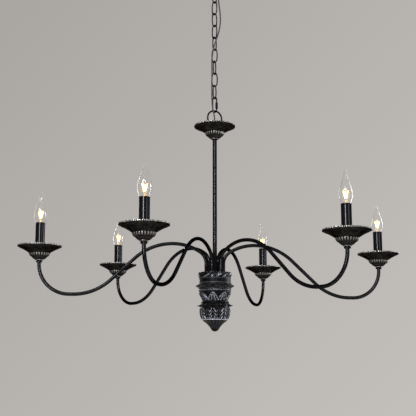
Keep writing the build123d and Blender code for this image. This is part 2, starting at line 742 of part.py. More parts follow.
cap_r = 7.0
cap_top = sleeve_top - 8.0
cap_bottom = sleeve_top - 32.5
contact_r = 3.0
contact_t = 3.0
holder_r = sleeve_r - sleeve_wall - 1.0
holder_base = rim_z + pan_floor + pan_nut_t
holder_foot_r = holder_r - 2.5
holder_foot_top = holder_base + 14.0
holder_post_r = 6.5
holder_post_top = cap_bottom - 11.0
holder_floor = cap_bottom - 5.0
holder_top = cap_top - 1.0      # the cap's flange stands just clear of it
socket_r = cap_r + cap_play
wire_hole_r = 3.0
with BuildPart() as lamp_holders:
    for index in range(arm_count):
        spot_x, spot_y = arm_spot(index, candle_circle_r)
        with BuildSketch(Plane(origin=(spot_x, spot_y, 0), x_dir=(1, 0, 0), z_dir=(0, -1, 0))):
            with BuildLine():
                Polyline((arm_hole_r, holder_base), (holder_foot_r, holder_base),
                         (holder_foot_r, holder_foot_top), (holder_post_r, holder_foot_top + 2),
                         (holder_post_r, holder_post_top), (holder_r, holder_floor - 2),
                         (holder_r, holder_top), (socket_r, holder_top),
                         (socket_r, holder_floor), (wire_hole_r, holder_floor),
                         (wire_hole_r, arm_end + 1), (arm_hole_r, arm_end + 1), close=True)
            make_face()
        revolve(axis=Axis((spot_x, spot_y, 0), (0, 0, 1)))
save(lamp_holders.part, "lamp_holders")

bulb_tip_z = rim_z + bulb_tip_above_rim


def make_bulb(index):
    """Flame-tip bulb: screw cap with its contact, and the closed glass above it."""
    spot_x, spot_y = arm_spot(index, candle_circle_r)
    with BuildPart() as bulb:
        with BuildSketch(Plane(origin=(spot_x, spot_y, 0), x_dir=(1, 0, 0), z_dir=(0, -1, 0))):
            with BuildLine():
                cap = Polyline((0, cap_bottom - contact_t), (contact_r, cap_bottom - contact_t),
                               (contact_r, cap_bottom), (cap_r, cap_bottom), (cap_r, cap_top),
                               (cap_r + 1, cap_top))
                glass = Spline(cap @ 1, (0.65 * bulb_r, sleeve_top), (bulb_r, sleeve_top + 23),
                               (0.72 * bulb_r, sleeve_top + 45), (0.33 * bulb_r, sleeve_top + 65),
                               (1.0, bulb_tip_z))
                tip = Line(glass @ 1, (0, bulb_tip_z))
                Line(tip @ 1, cap @ 0)
            make_face()
        revolve(axis=Axis((spot_x, spot_y, 0), (0, 0, 1)))
    return bulb.part


for index in range(arm_count):
    save(make_bulb(index), f"bulb_{index + 1}")

# ---- supply cord -------------------------------------------------------------------------------
cord_radii = corner_radii(cord_points, 0.45)
print("cord radii:", [round(radius, 1) for radius in cord_radii])
with BuildPart() as supply_cord:
    with BuildLine() as cord_line:
        FilletPolyline(*cord_points, radius=cord_radii)
    with BuildSketch(Plane(origin=cord_points[0], z_dir=(0, 0, -1))):
        Circle(cord_r)
    sweep(path=cord_line.wire())
save(supply_cord.part, "supply_cord")
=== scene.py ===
"""Blender scene of the six-arm chandelier: cast relief, glass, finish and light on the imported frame.

Metres, +Z up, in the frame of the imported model. Profiles are written in millimetres.
"""

import json
from math import atan2, cos, pi, radians, sin

import bpy
import numpy as np
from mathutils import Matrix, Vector, noise


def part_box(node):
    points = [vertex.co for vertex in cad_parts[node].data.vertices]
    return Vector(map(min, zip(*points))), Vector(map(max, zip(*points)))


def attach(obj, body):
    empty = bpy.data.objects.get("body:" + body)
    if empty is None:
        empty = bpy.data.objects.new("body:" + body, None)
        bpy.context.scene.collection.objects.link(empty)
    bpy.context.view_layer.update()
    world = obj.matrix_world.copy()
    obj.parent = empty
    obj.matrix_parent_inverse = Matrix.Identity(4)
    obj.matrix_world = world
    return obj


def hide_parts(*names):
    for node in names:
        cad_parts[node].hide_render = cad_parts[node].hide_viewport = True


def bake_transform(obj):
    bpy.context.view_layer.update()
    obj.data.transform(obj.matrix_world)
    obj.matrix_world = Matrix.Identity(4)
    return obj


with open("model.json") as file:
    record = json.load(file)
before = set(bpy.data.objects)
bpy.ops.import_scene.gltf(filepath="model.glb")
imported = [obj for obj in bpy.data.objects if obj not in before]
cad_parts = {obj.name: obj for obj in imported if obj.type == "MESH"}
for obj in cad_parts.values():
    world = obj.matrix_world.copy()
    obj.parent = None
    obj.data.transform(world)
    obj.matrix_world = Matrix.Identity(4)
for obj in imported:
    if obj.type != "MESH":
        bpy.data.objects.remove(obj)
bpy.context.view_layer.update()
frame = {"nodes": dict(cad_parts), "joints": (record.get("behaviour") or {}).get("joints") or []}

MM = 0.001
ARM_COUNT = 6
LINK_COUNT = 9


def node_top(name):
    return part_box(name)[1].z


def node_bottom(name):
    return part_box(name)[0].z


def node_centre(name):
    low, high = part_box(name)
    return Vector(((low.x + high.x) / 2, (low.y + high.y) / 2, 0))


# ---- camera ------------------------------------------------------------------------------------
CAMERA_PLACE = (-0.4349, -2.338, -1.175)
CAMERA_HEADING = (0.172, 0.9688, 0.1786)
CAMERA_LENS = 72.7
CAMERA_SENSOR = 36.0

camera_data = bpy.data.cameras.new("camera")
camera_data.lens = CAMERA_LENS
camera_data.sensor_width = CAMERA_SENSOR
camera = bpy.data.objects.new("camera", camera_data)
camera.location = CAMERA_PLACE
camera.rotation_euler = Vector(CAMERA_HEADING).to_track_quat("-Z", "Y").to_euler()
bpy.context.scene.collection.objects.link(camera)
bpy.context.scene.camera = camera

# ---- supply cord route -------------------------------------------------------------------------
CORD_DIAMETER = 0.004
CORD_POINTS = [
    (0.0, 0.0, -0.001),
    (0.0, 0.0, -0.046),
    (0.0105, -0.0115, -0.060),
    (0.0113, -0.0116, -0.087),
    (0.0107, -0.008, -0.115),
    (0.0158, -0.0079, -0.150),
    (0.0166, -0.0091, -0.180),
    (0.0122, -0.0113, -0.207),
    (0.0056, -0.0137, -0.230),
    (-0.0024, -0.0133, -0.253),
    (-0.0078, -0.0093, -0.277),
    (-0.0096, -0.0054, -0.305),
    (-0.0084, -0.0046, -0.340),
    (-0.0095, -0.0049, -0.377),
    (-0.0091, -0.0055, -0.413),
    (-0.0088, -0.0096, -0.443),
    (-0.0055, -0.0107, -0.460),
    (-0.0015, -0.0109, -0.481),
    (-0.0045, -0.0109, -0.495),
    (-0.0062, -0.0051, -0.5135),
    (-0.0015, -0.0012, -0.5207),
]


# ---- materials ---------------------------------------------------------------------------------
def new_material(name):
    """Material with its node tree, its shader and an object-space coordinate."""
    material = bpy.data.materials.new(name)
    material.use_nodes = True
    tree = material.node_tree
    shader = tree.nodes["Principled BSDF"]
    coordinate = tree.nodes.new("ShaderNodeTexCoord")
    return material, tree, shader, coordinate.outputs["Object"]


def noise_node(tree, vector, scale, detail=4.0, roughness=0.55):
    node = tree.nodes.new("ShaderNodeTexNoise")
    node.inputs["Scale"].default_value = scale
    node.inputs["Detail"].default_value = detail
    node.inputs["Roughness"].default_value = roughness
    tree.links.new(vector, node.inputs["Vector"])
    return node.outputs["Fac"]


def map_range(tree, value, from_low, from_high, to_low, to_high):
    node = tree.nodes.new("ShaderNodeMapRange")
    for socket, number in zip(("From Min", "From Max", "To Min", "To Max"),
                              (from_low, from_high, to_low, to_high)):
        node.inputs[socket].default_value = number
    tree.links.new(value, node.inputs["Value"])
    return node.outputs["Result"]


def math_node(tree, operation, first, second):
    node = tree.nodes.new("ShaderNodeMath")
    node.operation = operation
    node.use_clamp = True
    for socket, value in zip(node.inputs, (first, second)):
        if isinstance(value, float):
            socket.default_value = value
        else:
            tree.links.new(value, socket)
    return node.outputs["Value"]


def mix_colours(tree, factor, first, second):
    node = tree.nodes.new("ShaderNodeMix")
    node.data_type = "RGBA"
    tree.links.new(factor, node.inputs["Factor"])
    for socket, value in ((node.inputs[6], first), (node.inputs[7], second)):
        if isinstance(value, tuple):
            socket.default_value = (*value, 1.0)
        else:
            tree.links.new(value, socket)
    return node.outputs[2]


def add_bump(tree, shader, height, strength, distance):
    node = tree.nodes.new("ShaderNodeBump")
    node.inputs["Strength"].default_value = strength
    node.inputs["Distance"].default_value = distance
    tree.links.new(height, node.inputs["Height"])
    tree.links.new(node.outputs["Normal"], shader.inputs["Normal"])


def iron_material(name, dark, worn, silver, roughness, specular, grain, metallic=0.3, edge=1.0):
    """Black painted iron: mottled paint, and silver on whatever the relief raises, which is part silver
    rub and part painted highlight.

    A high metallic with a dark edge keeps the paint from paling where it is seen edge-on.
    """
    material, tree, shader, place = new_material(name)
    raised = tree.nodes.new("ShaderNodeAttribute")
    raised.attribute_name = "raised"
    broad = noise_node(tree, place, 90.0, 6.0)
    fine = noise_node(tree, place, 520.0, 4.0, 0.65)
    paint = mix_colours(tree, map_range(tree, broad, 0.42, 0.68, 0.0, 1.0), dark, worn)
    patchy = map_range(tree, fine, 0.30, 0.62, 0.35, 1.0)
    # silver share: part silver rub, part painted highlight on the relief's crests and top edges
    rub_and_highlight = math_node(tree, "MULTIPLY", math_node(tree, "POWER", raised.outputs["Fac"], 1.4), patchy)
    tree.links.new(mix_colours(tree, rub_and_highlight, paint, silver), shader.inputs["Base Color"])
    rough = map_range(tree, broad, 0.3, 0.7, roughness - 0.08, roughness + 0.10)
    tree.links.new(rough, shader.inputs["Roughness"])
    shader.inputs["Metallic"].default_value = metallic
    shader.inputs["Specular IOR Level"].default_value = specular
    shader.inputs["Specular Tint"].default_value = (edge, edge, edge, 1.0)
    add_bump(tree, shader, fine, grain, 0.0005)
    return material


def plain_material(name, first, second, roughness, metallic=0.0, scale=60.0, bump=0.12,
                   specular=0.5, edge=1.0):
    """Plastic, brass, zinc or rubber: two close tones in soft noise, with a fine grain."""
    material, tree, shader, place = new_material(name)
    broad = noise_node(tree, place, scale)
    fine = noise_node(tree, place, 900.0)
    tree.links.new(mix_colours(tree, map_range(tree, broad, 0.35, 0.65, 0.0, 1.0), first, second),
                   shader.inputs["Base Color"])
    tree.links.new(map_range(tree, broad, 0.3, 0.7, roughness - 0.05, roughness + 0.07),
                   shader.inputs["Roughness"])
    shader.inputs["Metallic"].default_value = metallic
    shader.inputs["Specular IOR Level"].default_value = specular
    shader.inputs["Specular Tint"].default_value = (edge, edge, edge, 1.0)
    add_bump(tree, shader, fine, bump, 0.0002)
    return material


def glass_material(name):
    """Thin clear glass whose colour darkens towards its outline: painted shade for the dark
    surroundings seen through its edge.
    """
    material, tree, shader, place = new_material(name)
    edge = tree.nodes.new("ShaderNodeLayerWeight")
    edge.inputs["Blend"].default_value = 0.35
    # painted shade: darker glass colour where the surface turns away from view
    rim = math_node(tree, "POWER", edge.outputs["Facing"], 2.5)
    tree.links.new(mix_colours(tree, rim, (1.0, 0.995, 0.985), (0.42, 0.40, 0.37)),
                   shader.inputs["Base Color"])
    shader.inputs["Transmission Weight"].default_value = 1.0
    shader.inputs["IOR"].default_value = 1.46
    waves = noise_node(tree, place, 45.0, 2.0)
    tree.links.new(map_range(tree, waves, 0.3, 0.7, 0.03, 0.06), shader.inputs["Roughness"])
    add_bump(tree, shader, waves, 0.05, 0.001)
    return material


def filament_material(name, deep, pale, strength):
    """Emission for a lit bulb: the wire itself, which is the lamp, and painted glow on the glass stem
    that the wire lights.
    """
    material, tree, shader, place = new_material(name)
    glow = noise_node(tree, place, 700.0)
    tree.links.new(mix_colours(tree, glow, deep, pale), shader.inputs["Emission Color"])
    shader.inputs["Base Color"].default_value = (0.9, 0.5, 0.2, 1.0)
    shader.inputs["Emission Strength"].default_value = strength
    return material


# the third colour of each iron is its silver: part silver rub, part painted highlight
IRON = iron_material("cast_iron", (0.0020, 0.0020, 0.0023), (0.006, 0.006, 0.007),
                     (0.50, 0.51, 0.57), 0.40, 0.10, 0.35)
WROUGHT = iron_material("wrought_iron", (0.016, 0.016, 0.0175), (0.026, 0.026, 0.0285),
                        (0.25, 0.26, 0.30), 0.21, 0.5, 0.03, metallic=1.0, edge=0.12)
PAN_IRON = iron_material("pan_iron", (0.014, 0.0135, 0.013), (0.036, 0.034, 0.031),
                         (0.66, 0.63, 0.58), 0.42, 0.5, 0.30, metallic=1.0, edge=0.30)
SLEEVE_BLACK = plain_material("sleeve_lacquer", (0.021, 0.021, 0.023), (0.027, 0.027, 0.029),
                              0.12, metallic=1.0, scale=30.0, bump=0.02, edge=0.12)
GLASS = glass_material("clear_glass")
FILAMENT = filament_material("hot_filament", (1.0, 0.58, 0.16), (1.0, 0.72, 0.28), 7.0)
CORD_BLACK = plain_material("cord_sheath", (0.007, 0.007, 0.007), (0.014, 0.013, 0.013), 0.5)
ZINC = plain_material("zinc_plate", (0.42, 0.43, 0.45), (0.55, 0.55, 0.56), 0.35, metallic=1.0)
BRASS = plain_material("brass", (0.55, 0.38, 0.14), (0.68, 0.50, 0.22), 0.3, metallic=1.0)
WIRE_WHITE = plain_material("wire_white", (0.62, 0.61, 0.58), (0.72, 0.71, 0.68), 0.45)
CONNECTOR = plain_material("connector_plastic", (0.62, 0.20, 0.05), (0.70, 0.26, 0.07), 0.4)
HOLDER = plain_material("holder_plastic", (0.60, 0.57, 0.50), (0.68, 0.65, 0.58), 0.5)
# painted light: the glass stem is no lamp, its glow stands in for the filament's light on it
LIT_STEM = filament_material("lit_stem", (1.0, 0.56, 0.20), (1.0, 0.68, 0.34), 0.9)
SUPPORT = plain_material("support_wire", (0.30, 0.28, 0.25), (0.42, 0.40, 0.36), 0.3, metallic=1.0)


# ---- mesh helpers ------------------------------------------------------------------------------
def mesh_object(name, vertices, faces, material, raised=None, sharp_degrees=None):
    """Smooth-shaded mesh with its material and its per-vertex share of silver, part silver rub and part
    painted highlight.
    """
    mesh = bpy.data.meshes.new(name)
    mesh.from_pydata(np.asarray(vertices).tolist(), [], faces)
    mesh.update()
    mesh.shade_smooth()
    if sharp_degrees is not None:
        mesh.set_sharp_from_angle(angle=radians(sharp_degrees))
    if raised is not None:
        layer = mesh.attributes.new("raised", "FLOAT", "POINT")
        layer.data.foreach_set("value", np.clip(np.ravel(raised), 0.0, 1.0).astype(np.float32))
    mesh.materials.append(material)
    piece = bpy.data.objects.new(name, mesh)
    bpy.context.scene.collection.objects.link(piece)
    return piece


def line(start, end, count=2):
    return np.linspace(start, end, count)


def arc(start, middle, end, count=12):
    """Points on the circle through three points of a profile."""
    (ax, ay), (bx, by), (cx, cy) = start, middle, end
    twice_area = 2 * (ax * (by - cy) + bx * (cy - ay) + cx * (ay - by))
    a, b, c = ax * ax + ay * ay, bx * bx + by * by, cx * cx + cy * cy
    centre_x = (a * (by - cy) + b * (cy - ay) + c * (ay - by)) / twice_area
    centre_y = (a * (cx - bx) + b * (ax - cx) + c * (bx - ax)) / twice_area
    first = atan2(ay - centre_y, ax - centre_x)
    sweep = (atan2(cy - centre_y, cx - centre_x) - first) % (2 * pi)
    if (atan2(by - centre_y, bx - centre_x) - first) % (2 * pi) > sweep:
        sweep -= 2 * pi
    angles = first + sweep * np.linspace(0, 1, count)
    radius = np.hypot(ax - centre_x, ay - centre_y)
    return np.stack([centre_x + radius * np.cos(angles), centre_y + radius * np.sin(angles)], 1)


def profile(*runs):
    """One run of profile points, with the doubled points at the joins dropped."""
    points = np.concatenate([np.asarray(run, float) for run in runs])
    keep = [0]
    for index in range(1, len(points)):
        if np.hypot(*(points[index] - points[keep[-1]])) > 1e-3:
            keep.append(index)
    return points[keep]


def ring_faces(rows, segments, closed):
    faces = []
    for row in range(rows if closed else rows - 1):
        below = (row + 1) % rows
        for step in range(segments):
            after = (step + 1) % segments
            faces.append((row * segments + step, below * segments + step,
                          below * segments + after, row * segments + after))
    return faces


def turned(name, points, centre, level, segments, material, relief=None, closed=True,
           sharp_degrees=None):
    """Turned body about an upright axis. points run down the outside, then up the inside.

    relief(theta, r, z) gives how far the surface stands out, in mm, and how much silver it takes, part
    silver rub and part painted highlight.
    """
    across = np.roll(points, -1, 0) - np.roll(points, 1, 0)
    if not closed:
        across = np.gradient(points, axis=0)
    across /= np.hypot(across[:, 0], across[:, 1])[:, None]
    theta = np.linspace(0, 2 * pi, segments, endpoint=False)[None, :]
    r = points[:, 0][:, None] + 0 * theta
    z = points[:, 1][:, None] + 0 * theta
    height, raised = relief(theta + 0 * r, r, z) if relief else (0 * r, 0 * r)
    r_out = r - across[:, 1][:, None] * height
    z_out = z + across[:, 0][:, None] * height
    vertices = np.stack([centre.x + MM * r_out * np.cos(theta), centre.y + MM * r_out * np.sin(theta),
                         level + MM * z_out], -1).reshape(-1, 3)
    faces = ring_faces(len(points), segments, closed)
    if not closed:
        faces.append(tuple(range(segments)))
        last = (len(points) - 1) * segments
        faces.append(tuple(range(last + segments - 1, last - 1, -1)))
    return mesh_object(name, vertices, faces, material, raised, sharp_degrees)


FIRST_SIDE = (0.31, 0.95, 0.05)         # any direction that no tube starts along


def frames_along(points):
    """Tangent and two cross directions at each point, turned as little as possible."""
    points = np.asarray(points, float)
    tangents = np.gradient(points, axis=0)
    tangents /= np.linalg.norm(tangents, axis=1)[:, None]
    side = np.cross(tangents[0], FIRST_SIDE)
    sides = []
    for tangent in tangents:
        side = side - tangent * side.dot(tangent)
        side /= np.linalg.norm(side)
        sides.append(side)
    sides = np.array(sides)
    return tangents, sides, np.cross(tangents, sides)


def tube(name, points, radii, material, sides=20, frames=None, raised=0.0):
    """Tube along points, closed at its ends. radii is one number or one per point."""
    points = np.asarray(points, float)
    _, across, over = frames or frames_along(points)
    radii = np.broadcast_to(radii, len(points))[:, None, None]
    turn = np.linspace(0, 2 * pi, sides, endpoint=False)[None, :, None]
    vertices = points[:, None, :] + radii * (np.cos(turn) * across[:, None, :]
                                             + np.sin(turn) * over[:, None, :])
    faces = [tuple(reversed(face)) for face in ring_faces(len(points), sides, False)]
    faces.append(tuple(reversed(range(sides))))
    last = (len(points) - 1) * sides
    faces.append(tuple(range(last, last + sides)))
    vertices = vertices.reshape(-1, 3)
    return mesh_object(name, vertices, faces, material, np.full(len(vertices), raised), 60)


def window(value, low, high, soft):
    """1 between low and high, easing to 0 over soft outside them."""
    rising = np.clip((value - low) / soft + 1, 0, 1)
    falling = np.clip((high - value) / soft + 1, 0, 1)
    both = np.minimum(rising, falling)
    return both * both * (3 - 2 * both)


def ridge(value, width):
    return np.exp(-(value / width) ** 2)


def mottle(theta, r, z, scale):
    """Uneven hand-cast surface: smooth noise on the cylinder, -1 to 1, periodic round it."""
    out = np.empty(np.shape(theta))
    for index, (angle, radius, level) in enumerate(zip(theta.flat, r.flat, z.flat)):
        point = Vector((radius * cos(angle), radius * sin(angle), level)) * scale
        out.flat[index] = noise.noise(point)
    return out


def ride_as(piece, node, body):
    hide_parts(node)
    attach(piece, body)


# ---- drip pans and the top cup -----------------------------------------------------------------
PAN_SEGMENTS = 288
RIM_TEETH = 72
BOWL_FLUTES = 24
PAN_R = 60.0
PAN_RIM_TOP = 2.0
PAN_RIM_LOW = -2.5
PAN_BORE_R = 5.1
PAN_FLOOR = -36.0
PAN_FOOT = -39.5


def pan_relief(theta, r, z):
    """Notched upright rim, two fine steps below it, fluted bowl and a row of small lobes under it."""
    outer_line = np.interp(-z, (0.0, 9.4, 18.4, 26.0, 30.0, 37.0), (59.0, 45.0, 30.2, 25.4, 20.6, 11.0))
    outside = (r > outer_line - 1.0) * (z > -37.2)
    upper = (z > -2.8) & (r > 57.8)
    tooth = 0.5 + 0.5 * np.cos(theta * RIM_TEETH)
    height = -1.1 * upper * (tooth < 0.4)
    flute = np.abs(np.cos(theta * BOWL_FLUTES / 2))
    bowl = window(z, -28.6, -20.6, 0.9) * outside
    height = height + 1.5 * bowl * (flute ** 0.7 - 0.45)
    tongue = window(z, -36.0, -31.0, 1.5) * outside
    lobe = np.abs(np.sin(theta * BOWL_FLUTES / 2))
    height = height + 0.7 * tongue * (lobe - 0.5)
    step = (ridge(z + 4.6, 0.5) + 0.7 * ridge(z + 7.2, 0.5)) * outside
    height = height + 0.6 * step
    # silver share, part silver rub and part painted highlight: only the top edge of the teeth, flute
    # crests brightening upwards, the foot ring
    raised = 1.0 * upper * (tooth > 0.5) * (z > -0.8) + 0.12 * step
    raised = raised + 0.75 * bowl * np.clip(flute * 2.4 - 1.35, 0, 1) * np.clip((z + 29) / 5, 0.25, 1)
    raised = raised + 0.08 * tongue * lobe + 0.6 * (z < -37.5) * (z > -39.4) * (r > 10.3)
    return height, raised


def pan_points():
    """Outside from the rim's top down to the bore, then the inside back up."""
    return profile(
        line((59.6, PAN_RIM_TOP), (PAN_R, PAN_RIM_TOP - 0.4), 2),
        line((PAN_R, PAN_RIM_TOP - 0.4), (PAN_R, PAN_RIM_LOW), 5),
        line((PAN_R, PAN_RIM_LOW), (58.2, PAN_RIM_LOW - 0.5), 3),
        arc((58.2, -3.0), (45.0, -9.4), (30.2, -18.4), 16),
        line((30.2, -18.4), (28.3, -19.6), 3),
        arc((28.3, -19.6), (25.4, -26.0), (21.6, -29.6), 16),
        line((21.6, -29.6), (20.6, -30.0), 2),
        arc((20.6, -30.0), (16.2, -34.6), (11.8, -37.0), 8),
        line((11.8, -37.0), (10.4, -37.4), 2),
        arc((10.4, -37.4), (11.4, -38.5), (10.2, PAN_FOOT), 5),
        line((10.2, PAN_FOOT), (PAN_BORE_R, PAN_FOOT), 2),
        line((PAN_BORE_R, PAN_FOOT), (PAN_BORE_R, PAN_FLOOR), 2),
        line((PAN_BORE_R, PAN_FLOOR), (13.2, PAN_FLOOR), 2),
        arc((13.2, PAN_FLOOR), (20.0, -28.6), (27.0, -18.6), 10),
        arc((27.0, -18.6), (43.4, -7.4), (57.0, -1.6), 12),
        line((57.0, -1.6), (57.4, -0.4), 2),
        line((57.4, -0.4), (58.2, -0.2), 2),
        line((58.2, -0.2), (58.4, PAN_RIM_TOP - 0.3), 3),
        line((58.4, PAN_RIM_TOP - 0.3), (59.6, PAN_RIM_TOP), 2),
    )


def make_pan(node):
    rim = node_top(node) - PAN_RIM_TOP * MM
    piece = turned(f"{node}_cast", pan_points(), node_centre(node), rim, PAN_SEGMENTS, PAN_IRON,
                   pan_relief, sharp_degrees=50)
    ride_as(piece, node, "fixture")


make_pan("top_cup")
for index in range(1, ARM_COUNT + 1):
    make_pan(f"drip_pan_{index}")

# ---- hub castings ------------------------------------------------------------------------------
HUB_SEGMENTS = 480
LEAVES = 8
LEAF_HEADING = radians(-108.5)
HUB_AXIS = Vector((0, 0, 0))
HALF_PITCH = pi / LEAVES
HUB_BORE_R = 8.0
CROWN_R = 47.0
CROWN_INSIDE_R = 42.0
CROWN_ROOF = 3.0
FLANGE_R = 54.5
FLANGE_ROOT_R = 47.5
FLANGE_BORE_R = 38.0
LEAF_ROOT_R = 34.0
LEAF_REACH = 17.4
LEAF_HALF_WIDTH = 14.5
LEAF_HALF_DEPTH = 5.2
BODY_FLOOR = 3.0
DISC_THICKNESS = 3.0
FINIAL_R = 34.0


def leaf_share(theta, offset=0.0):
    """-1 to 1 across each leaf's pitch, 0 on its middle."""
    turn = (theta - LEAF_HEADING - offset * 2 * HALF_PITCH + HALF_PITCH) % (2 * HALF_PITCH)
    return turn / HALF_PITCH - 1


def crown_relief(theta, r, z):
    """Hammered leaf scroll under the top edge, smooth bands and fine rings at the foot."""
    side = r > 40
    scroll = window(z, -14.0, -1.5, 2.0) * side
    rough = mottle(theta, r, z, 0.11) + 0.7 * mottle(theta, r, z, 0.29)
    wave = np.sin(theta * 16 + z * 0.30 + 5.0 * rough) * np.cos(z * 0.9 + 4.0 * rough)
    height = scroll * (1.1 * rough + 0.8 * wave)
    rings = 0.35 * (ridge(z + 17.5, 0.8) + ridge(z + 29.5, 0.7) + ridge(z + 32.0, 0.6))
    height = height + rings * side
    # silver share, part silver rub and part painted highlight: mottled on the scroll, on two rings and
    # along the top edge
    raised = scroll * np.clip(-0.05 + 1.5 * rough + 0.6 * wave, 0, 1)
    raised = raised + side * (0.22 * ridge(z + 17.5, 1.0) + 0.35 * ridge(z + 29.5, 0.9))
    raised = raised + 0.25 * (np.abs(z) < 0.3) * np.clip(rough, 0, 1)
    return height, raised


crown_drop = (node_bottom("hub_crown") - node_top("hub_crown")) / MM
crown = turned(
    "hub_crown_cast",
    profile(
        line((HUB_BORE_R, 0.0), (45.6, 0.0), 12),
        arc((45.6, 0.0), (46.6, -0.4), (CROWN_R, -1.4), 5),
        line((CROWN_R, -1.4), (CROWN_R, -7.0), 10),
        arc((CROWN_R, -7.0), (44.8, -19.0), (CROWN_R, crown_drop), 40),
        line((CROWN_R, crown_drop), (44.0, crown_drop), 2),
        line((44.0, crown_drop), (CROWN_INSIDE_R, crown_drop + 6), 2),
        line((CROWN_INSIDE_R, crown_drop + 6), (CROWN_INSIDE_R, -CROWN_ROOF), 2),
        line((CROWN_INSIDE_R, -CROWN_ROOF), (HUB_BORE_R, -CROWN_ROOF), 2),
    ),
    HUB_AXIS, node_top("hub_crown"), HUB_SEGMENTS, IRON, crown_relief, sharp_degrees=60)
ride_as(crown, "hub_crown", "fixture")


def flange_relief(theta, r, z):
    """Sharp middle edge with one fine groove above and below it."""
    rough = mottle(theta, r, z, 0.12)
    height = 0.12 * rough - 0.5 * (ridge(r - 50.2, 0.55)) * (r > 48.5)
    # silver share, part silver rub and part painted highlight, on two fine lines beside the middle edge
    raised = 0.30 * ridge(r - 52.6, 0.8) + 0.45 * ridge(r - 48.8, 0.6)
    return height, raised * np.clip(0.7 + rough, 0, 1)


flange_height = (node_top("hub_flange") - node_bottom("hub_flange")) / MM
flange = turned(
    "hub_flange_cast",
    profile(
        line((FLANGE_ROOT_R, flange_height), (54.1, 0.6 * flange_height), 14),
        line((54.1, 0.6 * flange_height), (FLANGE_R, 0.5 * flange_height), 2),
        line((FLANGE_R, 0.5 * flange_height), (54.1, 0.4 * flange_height), 2),
        line((54.1, 0.4 * flange_height), (FLANGE_ROOT_R, 0.0), 14),
        line((FLANGE_ROOT_R, 0.0), (FLANGE_BORE_R, 0.0), 2),
        line((FLANGE_BORE_R, 0.0), (FLANGE_BORE_R, flange_height), 2),
    ),
    HUB_AXIS, node_bottom("hub_flange"), HUB_SEGMENTS, IRON, flange_relief, sharp_degrees=60)
ride_as(flange, "hub_flange", "fixture")


def neck_relief(theta, r, z):
    """Rings on the shoulder, then pointed arches with a raised border and a leaf inside."""
    outside = 1.0 * ((r > 33.5) & (z > -37.9))
    rings = 0.8 * ridge(z + 2.5, 1.1) + 1.1 * ridge(z + 7.5, 2.0) - 0.5 * ridge(z + 11.5, 0.8)
    across = leaf_share(theta)
    down = np.clip((-z - 14.0) / 21.0, 0, 1.2)
    arch_zone = window(z, -36.0, -14.5, 1.2) * outside
    border = np.abs(np.abs(across) - 0.98 * down ** 0.75)
    arch = ridge(border, 0.16) * arch_zone
    inner = ridge(across, 0.26) * window(down, 0.45, 0.95, 0.2) * arch_zone
    vein = ridge(across, 0.05) * window(down, 0.40, 1.0, 0.2) * arch_zone
    low = window(z, -37.6, -35.5, 0.6) * outside * (0.5 + 0.5 * np.cos(theta * 40))
    rough = mottle(theta, r, z, 0.25)
    height = outside * rings + 2.6 * arch + 1.8 * inner - 0.8 * vein + 0.7 * low
    height = height + 0.25 * rough * arch_zone
    # silver share, part silver rub and part painted highlight: rings, arch borders and strokes inside
    # each leaf, less in the cut vein
    raised = outside * (0.25 * ridge(z + 2.5, 1.2) + 0.6 * ridge(z + 7.5, 2.0))
    raised = raised * np.clip(0.6 + 0.8 * rough, 0, 1)
    raised = raised + 1.0 * ridge(border, 0.13) * arch_zone * np.clip(0.55 + 1.2 * rough, 0, 1)
    stroke = ridge(np.abs(across) - 0.42 * down, 0.07) * window(down, 0.35, 0.95, 0.2) * arch_zone
    raised = raised + 0.8 * stroke + 0.3 * inner * np.clip(0.8 + rough, 0, 1) - 0.4 * vein + 0.35 * low
    return height, raised


neck_height = (node_top("hub_neck") - node_bottom("hub_neck")) / MM
neck = turned(
    "hub_neck_cast",
    profile(
        line((46.0, 0.0), (44.5, -14.0), 24),
        line((44.5, -14.0), (43.6, -15.2), 3),
        arc((43.6, -15.2), (38.5, -25.0), (34.0, -neck_height), 44),
        line((34.0, -neck_height), (31.0, -neck_height), 2),
        arc((31.0, -neck_height), (34.5, -24.0), (40.0, -13.0), 6),
        line((40.0, -13.0), (43.0, 0.0), 2),
    ),
    HUB_AXIS, node_top("hub_neck"), HUB_SEGMENTS, IRON, neck_relief, sharp_degrees=75)
ride_as(neck, "hub_neck", "fixture")


def leaf_collar(level):
    """Ring of eight pointed leaves that leave the neck, dip, and flick out to a thin tip."""
    vertices, faces, raised = [], [], []
    rings, round_count = 26, 28
    share = np.linspace(0, 1, rings)
    r_line = LEAF_ROOT_R + LEAF_REACH * share
    z_line = -5.5 - 7.5 * np.sin(share * pi * 0.62) + 1.0 * share
    half_width = LEAF_HALF_WIDTH * (1 - share) ** 0.85 * (1 + 0.10 * np.sin(share * 22)) + 0.15
    half_depth = LEAF_HALF_DEPTH * (1 - share) ** 1.15 + 0.35
    turn = np.linspace(0, 2 * pi, round_count, endpoint=False)
    for leaf in range(LEAVES):
        heading = LEAF_HEADING + leaf * 2 * HALF_PITCH
        base = len(vertices)
        for r, z, wide, deep, along in zip(r_line, z_line, half_width, half_depth, share):
            for angle in turn:
                aside = wide * cos(angle)
                vein = 0.9 * ridge(aside, 0.9) * (sin(angle) > 0) * (1 - along)
                lift = deep * sin(angle) * (1.0 if sin(angle) > 0 else 1.4) - vein
                lift -= 0.10 * abs(aside) * (1 - along)
                azimuth = heading + aside / r
                vertices.append((MM * r * cos(azimuth), MM * r * sin(azimuth), level + MM * (z + lift)))
                # silver share, part silver rub and part painted highlight: leaf edges and the upper
                # face, fading to the tip
                edge = abs(cos(angle)) ** 4
                raised.append((0.30 * edge + 0.1 * (sin(angle) > 0.9)) * (1 - along) ** 2)
        for face in ring_faces(rings, round_count, False):
            faces.append(tuple(base + corner for corner in reversed(face)))
        faces.append(tuple(base + step for step in range(round_count)))
        last = base + (rings - 1) * round_count
        faces.append(tuple(last + step for step in reversed(range(round_count))))
    return mesh_object("hub_leaf_collar_cast", vertices, faces, IRON, np.array(raised), 60)


